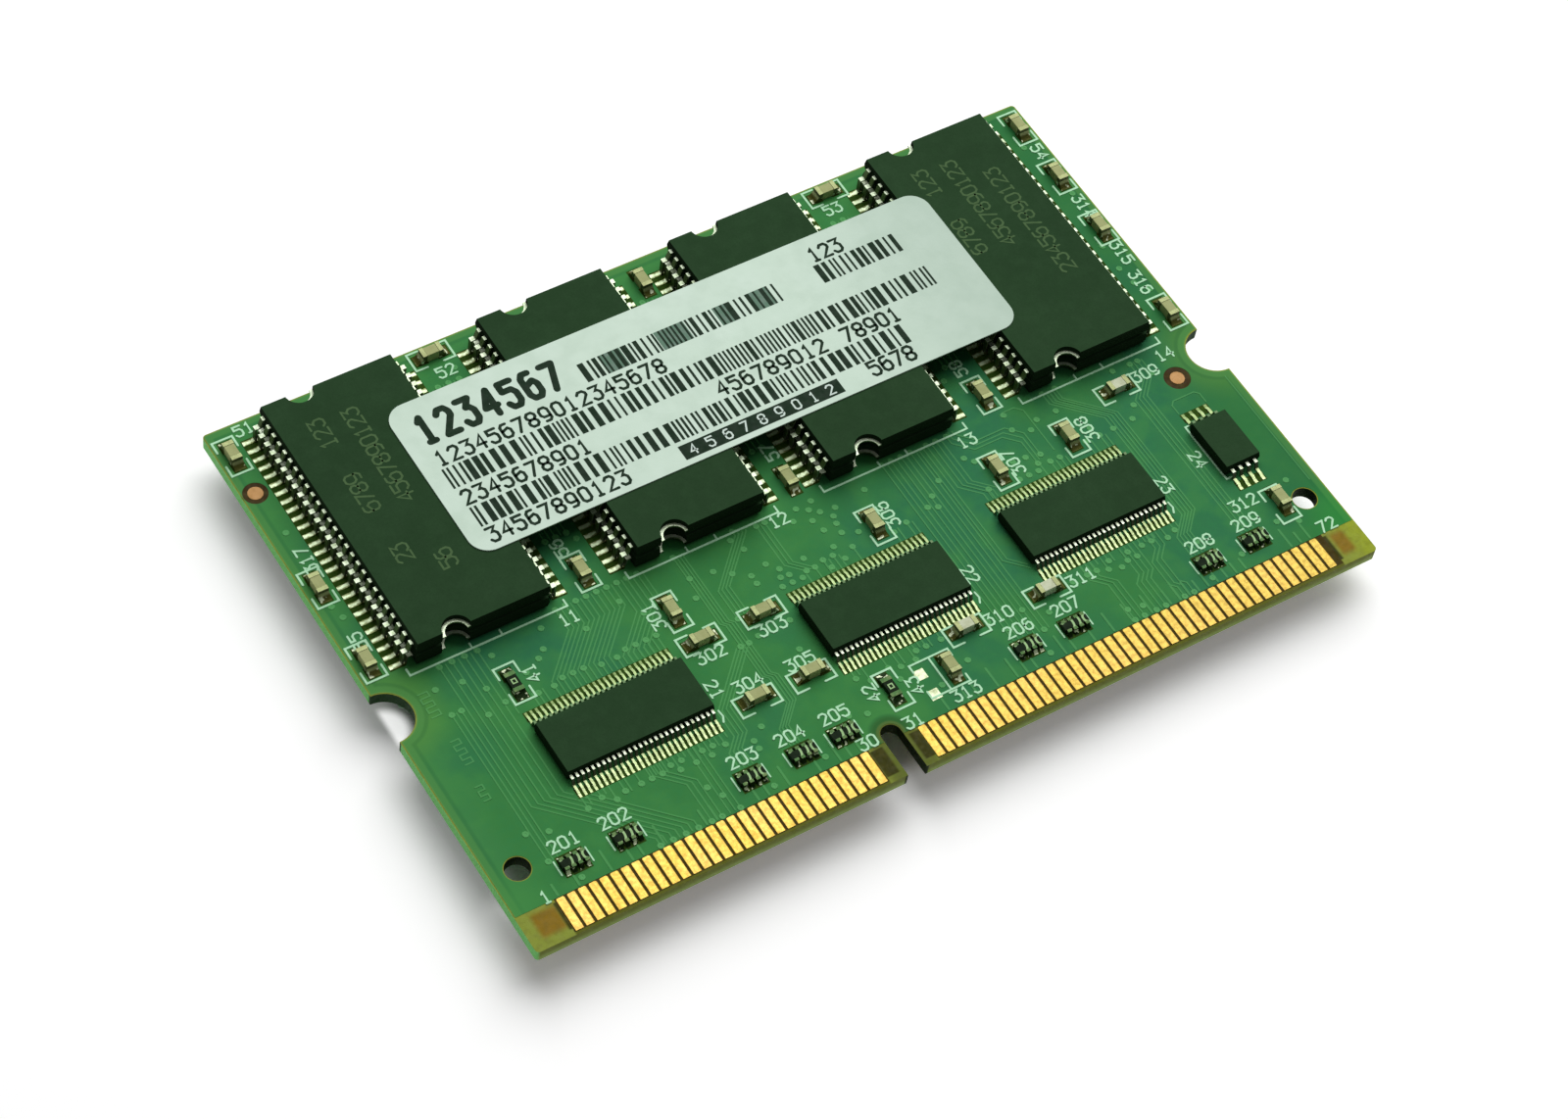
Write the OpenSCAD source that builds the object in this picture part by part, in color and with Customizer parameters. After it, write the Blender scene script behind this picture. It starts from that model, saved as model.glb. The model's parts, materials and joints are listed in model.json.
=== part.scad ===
// Tall 144-contact memory card: a printed board with four stacks of two memory
// packages on its front, five on its back, registers, a clock driver, a small
// identification memory, resistor arrays, resistors and capacitors.
// The card lies on the packages of its back. Lengths are in millimetres.

/* [Board] */
// Width of the board, along its contacts
board_w = 67.6; // [67.6:0.1:90]
// Height of the board, from the contact edge to the back edge
board_h = 46.1; // [46.1:0.1:60]
// Thickness of the bare board
board_t = 1.0; // [0.8:0.05:1.6]
// Radius of the board's four outer corners
corner_r = 0.3; // [0.2:0.1:1]
// Diameter of the two tooling holes
hole_d = 1.8; // [1:0.1:2.4]
// Distance of a tooling hole from the nearer side
hole_side = 2.0; // [1.6:0.1:3]
// Distance of a tooling hole from the contact edge
hole_up = 6.0; // [5:0.1:8]
// Radius of the latch notch in each side
latch_r = 2.0; // [1:0.1:2.4]
// Distance of a latch notch's centre from the contact edge
latch_up = 20.0; // [16:0.1:24]
// Width of the key slot between the two groups of contacts
key_w = 1.5; // [1:0.1:2]
// Depth of the key slot
key_deep = 4.0; // [3:0.1:5]
// Distance of the key slot's middle from the first contact right of it
key_offset = 2.1; // [1.8:0.05:2.8]

/* [Contacts] */
// Spacing of the contacts
contact_pitch = 0.8; // [0.7:0.01:0.9]
// Width of one contact
contact_w = 0.6; // [0.4:0.01:0.65]
// Length of one contact
contact_l = 2.6; // [2:0.05:3]
// Gap between the contacts and the edge of the board
contact_gap = 0.25; // [0.1:0.05:0.5]
// Chamfer at the two upper corners of a contact
contact_chamfer = 0.08; // [0.05:0.01:0.25]
// Distance of the first contact's middle from the left side
contact_first = 3.3; // [3:0.05:4]
// Number of contacts left of the key
contacts_left = 30; // [10:1:30]
// Number of contacts right of the key
contacts_right = 42; // [10:1:42]
// Distance between the last left contact and the first right one
key_step = 4.6; // [4:0.1:6]
// Thickness of the contacts and of the tinned lands
foil_t = 0.04; // [0.03:0.01:0.1]

/* [Memory packages] */
// Width of a package's moulding, across its leads
chip_w = 10.16; // [8:0.01:10.5]
// Length of a package's moulding
chip_l = 22.22; // [20:0.01:23]
// Thickness of a package's moulding
chip_t = 1.0; // [0.8:0.05:1.2]
// Gap between the board and the lower moulding
chip_stand = 0.2; // [0.1:0.01:0.25]
// Gap between the lower and the upper moulding
stack_gap = 0.33; // [0.15:0.01:0.4]
// Amount that a moulding's faces pull in on each side
chip_draft = 0.07; // [0.03:0.01:0.12]
// Radius of the half-round notch in both ends of a moulding
end_notch_r = 1.05; // [0.6:0.05:1.3]
// Distance of that notch's centre from the left side of the moulding
end_notch_side = 3.0; // [2:0.1:5]
// Width of the lead frame's rim that shows in the notch
frame_rim = 0.24; // [0.1:0.01:0.3]
// Leads on each side of a package
chip_leads = 27; // [20:1:27]
// Spacing of the leads
lead_pitch = 0.8; // [0.78:0.01:0.84]
// Width of a lead
lead_w = 0.36; // [0.2:0.01:0.45]
// Thickness of the lead frame
lead_t = 0.13; // [0.1:0.01:0.16]
// Length of a lower lead's level shoulder
shoulder_lower = 0.34; // [0.3:0.01:0.4]
// Length of an upper lead's level shoulder
shoulder_upper = 0.16; // [0.1:0.01:0.2]
// Distance that an upper lead leans out on its way down to its foot
upper_lean = 0.2; // [0.1:0.01:0.3]
// Drop from the upper moulding's lower face to the middle of an upper foot
upper_drop = 0.2; // [0.1:0.01:0.3]
// Distance from the moulding to the middle of the leg below an upper foot
upper_reach = 0.72; // [0.7:0.01:0.73]
// Distance from a shoulder's end to the start of the foot below it
leg_run = 0.18; // [0.1:0.01:0.25]
// Distance of a foot's tip from the moulding
lead_reach = 0.8; // [0.75:0.01:1]
// Length of the land beyond the foot's tip, on the front
land_front = 0.85; // [0.2:0.05:0.95]
// Length of the land beyond the foot's tip, on the back
land_back = 0.45; // [0.2:0.05:0.6]
// Length of the slope of solder at a foot's tip
solder_run = 0.2; // [0.1:0.01:0.2]

/* [Stack layout] */
// Distance from the stacks' mouldings to the back edge of the board
stack_margin = 1.23; // [0.8:0.01:2]
// Distance of the first front stack's moulding from the left side
front_first = 3.79; // [3:0.01:4]
// Gap between the mouldings of the outer front stacks and their neighbours
front_gap_outer = 6.7; // [4:0.05:7]
// Gap between the mouldings of the two middle front stacks
front_gap_middle = 5.53; // [4:0.01:7]
// Gap between the mouldings of neighbouring back stacks
back_gap = 3.0; // [2.9:0.05:4]

/* [Label] */
// Width of the label
label_w = 44.2; // [30:0.1:46]
// Height of the label
label_h = 13.6; // [8:0.1:16]
// Thickness of the label
label_t = 0.1; // [0.05:0.01:0.2]
// Radius of the label's corners
label_r = 1.5; // [0.5:0.1:3]
// Distance of the label from the first front moulding's left side
label_in = 7.04; // [5:0.01:8]
// Distance of the label from the contact side end of the mouldings
label_up = 4.3; // [2:0.1:6]

/* [Small packages] */
// Thickness of the small packages' mouldings
small_t = 0.95; // [0.8:0.05:1.1]
// Gap between the board and a small package
small_stand = 0.12; // [0.1:0.01:0.2]
// Width of the small packages' mouldings, across their leads
small_w = 4.4; // [4:0.1:5]
// Length of a register's moulding
register_l = 11.3; // [11.3:0.1:13]
// Leads on each side of a register
register_leads = 28; // [20:1:28]
// Spacing of a register's leads
register_pitch = 0.4; // [0.38:0.01:0.4]
// Width of a register's lead
register_lead_w = 0.18; // [0.1:0.01:0.22]
// Length of the identification memory's moulding
ident_l = 3.0; // [2.8:0.1:4]
// Leads on each side of the identification memory
ident_leads = 4; // [2:1:4]
// Length of the clock driver's moulding
clock_l = 7.8; // [7.8:0.1:9]
// Leads on each side of the clock driver
clock_leads = 12; // [6:1:12]
// Spacing of the identification memory's and the clock driver's leads
wide_pitch = 0.65; // [0.6:0.01:0.65]
// Width of those leads
wide_lead_w = 0.24; // [0.15:0.01:0.3]
// Distance of a small package's foot tips from its moulding
small_reach = 1.0; // [0.9:0.01:1.1]
// Length of a small package's level shoulder
small_shoulder = 0.3; // [0.2:0.01:0.35]
// Distance of the registers' middle line from the contact edge
register_up = 12.4; // [11.5:0.1:13.5]

/* [Chip parts] */
// Length of a capacitor or a resistor
chip_part_l = 1.6; // [1.4:0.05:1.8]
// Width of a capacitor or a resistor
chip_part_w = 0.8; // [0.6:0.05:0.9]
// Height of a capacitor
cap_h = 0.8; // [0.6:0.05:1]
// Height of a resistor and of a resistor array
res_h = 0.45; // [0.3:0.05:0.6]
// Length of the metal end of a capacitor or a resistor
end_l = 0.32; // [0.2:0.01:0.4]
// Amount that the ceramic lies back from its metal ends
end_lip = 0.02; // [0.01:0.01:0.05]
// Share of an end's height that the solder climbs
solder_climb = 0.6; // [0.3:0.05:0.9]
// Share of a small part's land that the solder covers
solder_cover = 0.8; // [0.5:0.05:0.9]
// Length of the land beyond the end of a small part
land_out = 0.5; // [0.2:0.05:0.6]
// Length of a resistor array
array_l = 2.0; // [1.9:0.05:2.1]
// Width of a resistor array
array_w = 1.0; // [0.9:0.05:1.2]
// Resistors in one array
array_n = 4; // [2:1:4]
// Spacing of an array's terminals
array_pitch = 0.5; // [0.45:0.01:0.5]
// Width of an array's terminal
array_term_w = 0.3; // [0.2:0.01:0.35]
// Depth of an array's terminal
array_term_l = 0.22; // [0.15:0.01:0.3]
// Distance of the resistor arrays' middle line from the contact edge
array_up = 4.7; // [4.3:0.05:4.8]
// Length of the land beyond an array's terminal
array_land = 0.25; // [0.1:0.05:0.4]

/* [Hidden] */
$fn = 48;

// Length that a cut runs past a face
cut = 1;

// Levels of the card: the faces of the back stacks lie at zero
stack_h = chip_stand + 2 * chip_t + stack_gap;
board_low = stack_h;
board_top = board_low + board_t;

// Levels in a stack, above the board's face
lower_z = chip_stand;
upper_z = chip_stand + chip_t + stack_gap;
lower_mid = lower_z + chip_t / 2;
upper_mid = upper_z + chip_t / 2;
small_mid = small_stand + small_t / 2;

// Middles of the stacks: front ones from the left side, back ones as seen from the back
stack_up = board_h - stack_margin - chip_l / 2;
front_2 = front_first + chip_w + front_gap_outer;
front_3 = front_2 + chip_w + front_gap_middle;
front_4 = front_3 + chip_w + front_gap_outer;
front_stacks = [for (side = [front_first, front_2, front_3, front_4]) side + chip_w / 2];
back_stacks = [for (i = [-2:2]) board_w / 2 + i * (chip_w + back_gap)];

// Columns in the gaps between the front stacks
left_gap = front_2 - front_gap_outer / 2;
middle_gap = front_3 - front_gap_middle / 2 + 0.3;
right_gap = front_4 - front_gap_outer / 2 + 0.3;

// Middles of the small packages, from the left side of their own face
register_places = [13.73, 34.3, 50.68];
ident_place = 63.05;
clock_place = board_w / 2;

// Contacts: the groups left and right of the key
left_contacts = [for (i = [0:contacts_left - 1]) contact_first + i * contact_pitch];
right_first = contact_first + (contacts_left - 1) * contact_pitch + key_step;
right_contacts = [for (i = [0:contacts_right - 1]) right_first + i * contact_pitch];
key_middle = right_first - key_offset;

// Columns beside the outer stacks, and rows around the stacks and below them
left_column = 1.05;
right_column = board_w - left_column;
row_top = board_h - left_column;
row_high = stack_up + 10;
row_foot = stack_up - 9.55;
row_mid = 18.3;
row_registers = 15.55;
row_low = 9.85;
row_pins = 8;

// Chip parts: middle from the left side, middle from the contact edge, and 90
// where the part stands along the board's height
front_caps = [
    [left_column, row_high - 0.15, 90], [left_column, stack_up - 2.5, 90],
    [left_column, row_foot + 0.3, 90], [right_column, row_high + 0.2, 90],
    [right_column, stack_up + 4.9, 90], [right_column, stack_up - 0.6, 90],
    [right_column, row_foot + 0.1, 90], [left_gap, row_top, 0], [right_gap, row_top, 0],
    [middle_gap, row_high + 0.2, 90], [left_gap, row_foot, 90], [middle_gap, row_foot, 90],
    [right_gap, row_foot, 90], [21.05, row_mid + 0.25, 90], [37.2, row_mid, 90],
    [47.45, row_mid - 0.1, 90], [53.6, row_mid, 90], [59.2, 20.2, 0],
    [21.6, row_registers, 0], [26.45, row_registers, 0], [22.5, row_low, 0],
    [26.85, row_low, 0], [38.05, row_pins, 0], [44.8, row_pins, 0],
    [35.35, 5.85, 90], [63.85, 6.7, 90]
];
front_res = [[8.8, row_mid + 0.1, 90], [30.85, 6.25, 90]];
bare_place = [33.3, 5.4, 90];
front_arrays = [5.44, 9.4, 18.9, 22.9, 26.15, 41, 44.9, 56.25, 60.25];
back_caps = concat(
    [for (i = [-4.5:4.5]) [clock_place + 6.1 * i, row_foot - 4.85, 0]],
    [for (i = [-1, 1]) [clock_place + 6.2 * i, register_up, 90]],
    [for (i = [-1, 1]) [clock_place + 2.6 * i, row_pins - 0.8, 0]]
);
back_res = [for (x = [-18.2, -15.1, 15.1, 18.2]) [clock_place + x, register_up, 90]];
back_arrays = [5.5, 10, 15, 20, 43, 47.5, 56.2, 60.2];

// The points of a bent line, each moved this far to its left with mitred corners
function normal(a, b) = [a[1] - b[1], b[0] - a[0]] / norm(b - a);
function corner(line, i) =
    let (last = len(line) - 1)
    let (before = normal(line[max(i, 1) - 1], line[max(i, 1)]))
    let (after = normal(line[min(i, last - 1)], line[min(i, last - 1) + 1]))
    (before + after) / (1 + before * after);
function moved(line, by) = [for (i = [0:len(line) - 1]) line[i] + by * corner(line, i)];
function backwards(line) = [for (i = [len(line) - 1:-1:0]) line[i]];
function without_last(line) = [for (i = [0:len(line) - 2]) line[i]];

// Outline of a gull-wing lead with its solder: out of the moulding at the given
// level, down to its foot on the board, and on over the slope of solder and the land
function gull_lead(level, shoulder, reach, land) =
    let (foot = lead_t / 2)
    let (line = [[0, level], [shoulder, level], [shoulder + leg_run, foot], [reach, foot]])
    concat(
        moved(line, foot),
        [[reach + solder_run, foil_t], [reach + land, foil_t], [reach + land, 0]],
        backwards(without_last(moved(line, -foot)))
    );

// Outline of an upper lead: down to a level foot beside the gap between the mouldings,
// and from its tip straight down onto the lower lead's foot
function upper_lead() =
    let (half = lead_t / 2)
    let (foot = upper_z - upper_drop)
    let (bend = shoulder_upper + upper_lean)
    let (line = [
        [0, upper_mid], [shoulder_upper, upper_mid], [bend, foot], [upper_reach, foot],
        [upper_reach, lead_t]
    ])
    concat(moved(line, half), backwards(moved(line, -half)));

// Outline of a small part's metal end with its solder and land
function soldered_end(length, height, land) = [
    [-length, 0], [-length, height], [0, height], [0, height * solder_climb],
    [land * solder_cover, foil_t], [land, foil_t], [land, 0]
];

// Section of a moulding: faces that pull in from a land as high as the leads
function moulding_section(half, z, t) =
    let (low = z + t / 2 - lead_t / 2)
    let (high = z + t / 2 + lead_t / 2)
    [
        [-half + chip_draft, z], [half - chip_draft, z], [half, low], [half, high],
        [half - chip_draft, z + t], [-half + chip_draft, z + t], [-half, high], [-half, low]
    ];

// The board's front, from its left corner at the contact edge
module on_front() {
    translate([-board_w / 2, -board_h / 2, board_top]) children();
}

// The board's back, from its left corner as seen from the back
module on_back() {
    translate([board_w / 2, -board_h / 2, board_low]) rotate([0, 180, 0]) children();
}

module at(place) {
    translate([place[0], place[1], 0]) rotate([0, 0, place[2]]) children();
}

// Two copies, outside the right and the left side of a body this wide
module both_sides(width) {
    for (turn = [0, 180])
        rotate([0, 0, turn]) translate([width / 2, 0, 0]) children();
}

// An outline in X and Z as a bar along Y, about the middle
module bar(width, outline) {
    rotate([90, 0, 0]) linear_extrude(width, center = true) polygon(outline);
}

module row(count, pitch) {
    for (i = [0:count - 1])
        translate([0, (i - (count - 1) / 2) * pitch, 0]) children();
}

module rounded_plate(width, height, thickness, radius) {
    linear_extrude(thickness) {
        translate([radius, 0]) square([width - 2 * radius, height]);
        translate([0, radius]) square([width, height - 2 * radius]);
        for (x = [radius, width - radius], y = [radius, height - radius])
            translate([x, y]) circle(radius);
    }
}

// The board, cut by its latch notches, tooling holes and key slot
module circuit_board() {
    through = board_t + 2 * cut;
    color("seagreen") translate([-board_w / 2, -board_h / 2, board_low]) difference() {
        rounded_plate(board_w, board_h, board_t, corner_r);
        for (x = [0, board_w])
            translate([x, latch_up, -cut]) cylinder(h = through, r = latch_r);
        for (x = [hole_side, board_w - hole_side])
            translate([x, hole_up, -cut]) cylinder(h = through, d = hole_d);
        translate([key_middle, key_deep - key_w / 2, -cut]) cylinder(h = through, d = key_w);
        translate([key_middle - key_w / 2, -cut, -cut])
            cube([key_w, key_deep - key_w / 2 + cut, through]);
    }
}

// One finger of foil with two chamfered upper corners
module contact() {
    half = contact_w / 2;
    shoulder = contact_l - contact_chamfer;
    linear_extrude(foil_t) polygon([
        [-half, 0], [half, 0], [half, shoulder], [half - contact_chamfer, contact_l],
        [contact_chamfer - half, contact_l], [-half, shoulder]
    ]);
}

module contacts() {
    color("gold") for (x = concat(left_contacts, right_contacts))
        translate([x, contact_gap, 0]) contact();
}

module front_contacts() {
    on_front() contacts();
}

// The back's fingers lie behind the front's
module back_contacts() {
    on_back() translate([board_w, 0, 0]) mirror([1, 0, 0]) contacts();
}

// Two lands with no part on them
module bare_lands() {
    start = chip_part_l / 2 - end_l;
    color("silver") on_front() at(bare_place) both_sides(2 * start)
        translate([0, -chip_part_w / 2, 0]) cube([end_l + land_out, chip_part_w, foil_t]);
}

// The label lies flat across the four front stacks and bridges their gaps
module label() {
    color("honeydew") on_front()
        translate([front_first + label_in, stack_up - chip_l / 2 + label_up, stack_h])
            rounded_plate(label_w, label_h, label_t, label_r);
}

module moulding(width, length, z, t) {
    intersection() {
        bar(length, moulding_section(width / 2, z, t));
        rotate([0, 0, 90]) bar(width, moulding_section(length / 2, z, t));
    }
}

// The half-round notches in both ends of a memory package
module end_notches() {
    for (end = [-1, 1])
        translate([end_notch_side - chip_w / 2, end * chip_l / 2, 0]) children();
}

module memory_moulding(z) {
    color("darkslategray") difference() {
        moulding(chip_w, chip_l, z, chip_t);
        end_notches() translate([0, 0, z - cut]) cylinder(h = chip_t + 2 * cut, r = end_notch_r);
    }
}

// The lead frame's rim, which shows along the wall of each end notch
module frame_rims(level) {
    intersection() {
        end_notches() translate([0, 0, level - lead_t / 2]) difference() {
            cylinder(h = lead_t, r = end_notch_r);
            translate([0, 0, -cut]) cylinder(h = lead_t + 2 * cut, r = end_notch_r - frame_rim);
        }
        translate([-chip_w / 2, -chip_l / 2, 0]) cube([chip_w, chip_l, stack_h]);
    }
}

module memory_leads(level, outline) {
    color("silver") {
        both_sides(chip_w) row(chip_leads, lead_pitch) bar(lead_w, outline);
        frame_rims(level);
    }
}

// A stack by its number: the first four are on the front, the others on the back
function is_front(number) = number <= len(front_stacks);
function land_of(number) = is_front(number) ? land_front : land_back;

module at_stack(number) {
    if (is_front(number))
        on_front() translate([front_stacks[number - 1], stack_up, 0]) children();
    else
        on_back() translate([back_stacks[number - 1 - len(front_stacks)], stack_up, 0]) children();
}

module upper_chip(number) {
    at_stack(number) memory_moulding(upper_z);
}

module lower_chip(number) {
    at_stack(number) memory_moulding(lower_z);
}

module upper_leads(number) {
    at_stack(number) memory_leads(upper_mid, upper_lead());
}

module lower_leads(number) {
    at_stack(number)
        memory_leads(lower_mid, gull_lead(lower_mid, shoulder_lower, lead_reach, land_of(number)));
}

module small_chip(length) {
    color("darkslategray") moulding(small_w, length, small_stand, small_t);
}

module small_leads(count, pitch, width) {
    color("silver") both_sides(small_w) row(count, pitch)
        bar(width, gull_lead(small_mid, small_shoulder, small_reach, land_out));
}

module at_register(number) {
    on_front() at([register_places[number - 1], register_up, 90]) children();
}

module register_chip(number) {
    at_register(number) small_chip(register_l);
}

module register_leads(number) {
    at_register(number) small_leads(register_leads, register_pitch, register_lead_w);
}

module ident_memory_chip() {
    on_front() at([ident_place, register_up, 90]) small_chip(ident_l);
}

module ident_memory_leads() {
    on_front() at([ident_place, register_up, 90]) small_leads(ident_leads, wide_pitch, wide_lead_w);
}

module clock_driver_chip() {
    on_back() at([clock_place, register_up, 90]) small_chip(clock_l);
}

module clock_driver_leads() {
    on_back() at([clock_place, register_up, 90]) small_leads(clock_leads, wide_pitch, wide_lead_w);
}

// The ceramic of a capacitor or a resistor, between its two metal ends
module ceramic(height) {
    length = chip_part_l - 2 * end_l;
    width = chip_part_w - 2 * end_lip;
    translate([-length / 2, -width / 2, end_lip]) cube([length, width, height - 2 * end_lip]);
}

module metal_ends(height) {
    both_sides(chip_part_l) bar(chip_part_w, soldered_end(end_l, height, land_out));
}

module capacitors(places) {
    color("tan") for (place = places) at(place) ceramic(cap_h);
}

module capacitor_ends(places) {
    color("silver") for (place = places) at(place) metal_ends(cap_h);
}

// An array's ceramic lies between two rows of terminals, which stand a little higher
module resistors(places, arrays) {
    width = array_w - 2 * array_term_l;
    color("dimgray") {
        for (place = places) at(place) ceramic(res_h);
        for (x = arrays)
            translate([x - array_l / 2, array_up - width / 2, 0]) cube([array_l, width, res_h]);
    }
}

module resistor_ends(places, arrays) {
    color("silver") {
        for (place = places) at(place) metal_ends(res_h);
        for (x = arrays)
            at([x, array_up, 90]) both_sides(array_w) row(array_n, array_pitch)
                bar(array_term_w, soldered_end(array_term_l, res_h + end_lip, array_land));
    }
}

module front_capacitors() {
    on_front() capacitors(front_caps);
}

module front_capacitor_ends() {
    on_front() capacitor_ends(front_caps);
}

module back_capacitors() {
    on_back() capacitors(back_caps);
}

module back_capacitor_ends() {
    on_back() capacitor_ends(back_caps);
}

module front_resistors() {
    on_front() resistors(front_res, front_arrays);
}

module front_resistor_ends() {
    on_front() resistor_ends(front_res, front_arrays);
}

module back_resistors() {
    on_back() resistors(back_res, back_arrays);
}

module back_resistor_ends() {
    on_back() resistor_ends(back_res, back_arrays);
}

circuit_board();
front_contacts();
back_contacts();
bare_lands();
label();
for (n = [1:9]) {
    upper_chip(n);
    lower_chip(n);
    upper_leads(n);
    lower_leads(n);
}
for (n = [1:3]) {
    register_chip(n);
    register_leads(n);
}
ident_memory_chip();
ident_memory_leads();
clock_driver_chip();
clock_driver_leads();
front_capacitors();
front_capacitor_ends();
back_capacitors();
back_capacitor_ends();
front_resistors();
front_resistor_ends();
back_resistors();
back_resistor_ends();
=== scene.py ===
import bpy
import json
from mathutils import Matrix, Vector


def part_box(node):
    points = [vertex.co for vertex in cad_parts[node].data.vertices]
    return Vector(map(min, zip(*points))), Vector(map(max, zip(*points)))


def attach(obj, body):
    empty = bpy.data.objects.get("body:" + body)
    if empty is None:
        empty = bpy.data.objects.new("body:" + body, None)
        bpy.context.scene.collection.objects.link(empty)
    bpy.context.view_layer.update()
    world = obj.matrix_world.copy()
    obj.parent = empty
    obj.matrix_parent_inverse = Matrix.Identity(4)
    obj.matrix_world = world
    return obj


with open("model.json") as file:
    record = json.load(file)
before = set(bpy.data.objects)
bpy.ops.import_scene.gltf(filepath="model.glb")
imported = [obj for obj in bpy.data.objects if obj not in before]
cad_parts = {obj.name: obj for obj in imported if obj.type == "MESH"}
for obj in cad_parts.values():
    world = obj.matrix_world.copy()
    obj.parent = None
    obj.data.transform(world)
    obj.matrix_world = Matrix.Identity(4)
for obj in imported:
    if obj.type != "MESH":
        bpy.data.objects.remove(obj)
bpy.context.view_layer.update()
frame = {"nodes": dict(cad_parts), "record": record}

import json
import math
import random

import bmesh
import bpy
from mathutils import Matrix, Vector

MM = 0.001
LOW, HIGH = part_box("circuit_board")
WIDE = (HIGH.x - LOW.x) / MM
DEEP = (HIGH.y - LOW.y) / MM
CENTRE_X, CENTRE_Y = WIDE / 2, DEEP / 2
MIDDLE, THICK = (LOW.z + HIGH.z) / 2 / MM, (HIGH.z - LOW.z) / MM
FRONT, BACK = 1, -1
scene = bpy.context.scene

# Places on the board, in millimetres from its left front corner
KEY_X, KEY_R, KEY_TOP = 29.0, 0.75, 4.0
KEY_BOX = (KEY_X - KEY_R - 0.4, 0, KEY_X + KEY_R + 0.4, KEY_TOP + 0.4)
NOTCH_Y, NOTCH_R = 20.0, 2.0
HOLES = [(2.0, 6.0), (WIDE - 2.0, 6.0)]
HOLE_R = 0.9
FIDUCIALS = [(1.01, 40.13, 0.9), (63.7, 19.0, 1.0)]
MASK_Y = 2.92
CORNER_R = 0.3
LEFT_CONTACT, RIGHT_CONTACT, CONTACT_PITCH = 3.3, 31.1, 0.8
CONTACTS = [LEFT_CONTACT + CONTACT_PITCH * i for i in range(30)]
CONTACTS += [RIGHT_CONTACT + CONTACT_PITCH * i for i in range(42)]
LEAD_PITCH = 0.8
FINE_LEADS = 28
REGISTERS = ("register_1", "register_2", "register_3")
ARRAY_X, ARRAY_Y = (5.44, 9.4, 18.9, 22.9, 26.15, 41, 44.9, 56.25, 60.25), 4.68
ARRAY_LONG = 1.8

# Stroke widths, and the foot, top, slope and spread of raised layers
TRACK_W, LEGEND_W, LINE_W = 0.13, 0.18, 0.17
MASK_HALF = 0.01
TRACK_FORM = (0.01, 0.03, 0.012, 0.02)
LEGEND_FORM = (0.015, 0.062, 0.02, 0.02)


def middle_y(node):
    """The middle of a node along Y, in millimetres of the frame."""
    low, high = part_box(node)
    return (low.y + high.y) / 2 / MM


STACK_Y = middle_y("stack_1_lower_leads")
FINE_Y = middle_y("register_1_leads")
LABEL_LOW, LABEL_HIGH = (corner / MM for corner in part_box("label"))
LABEL_TOP = (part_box("label")[1].z - HIGH.z) / MM
CHIP_TOP = (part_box("stack_1_upper_chip")[1].z - HIGH.z) / MM


def linear(colour):
    """A colour as seen, in parts of 255, as linear values."""
    parts = [v / 255 for v in colour]
    return tuple(v / 12.92 if v < 0.04 else ((v + 0.055) / 1.055) ** 2.4 for v in parts) + (1.0,)


def place(side, x, y, lift):
    """A point above a face of the board, in metres of the frame."""
    if side == FRONT:
        return Vector((LOW.x + x * MM, LOW.y + y * MM, HIGH.z + lift * MM))
    return Vector((HIGH.x - x * MM, LOW.y + y * MM, LOW.z - lift * MM))


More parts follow.
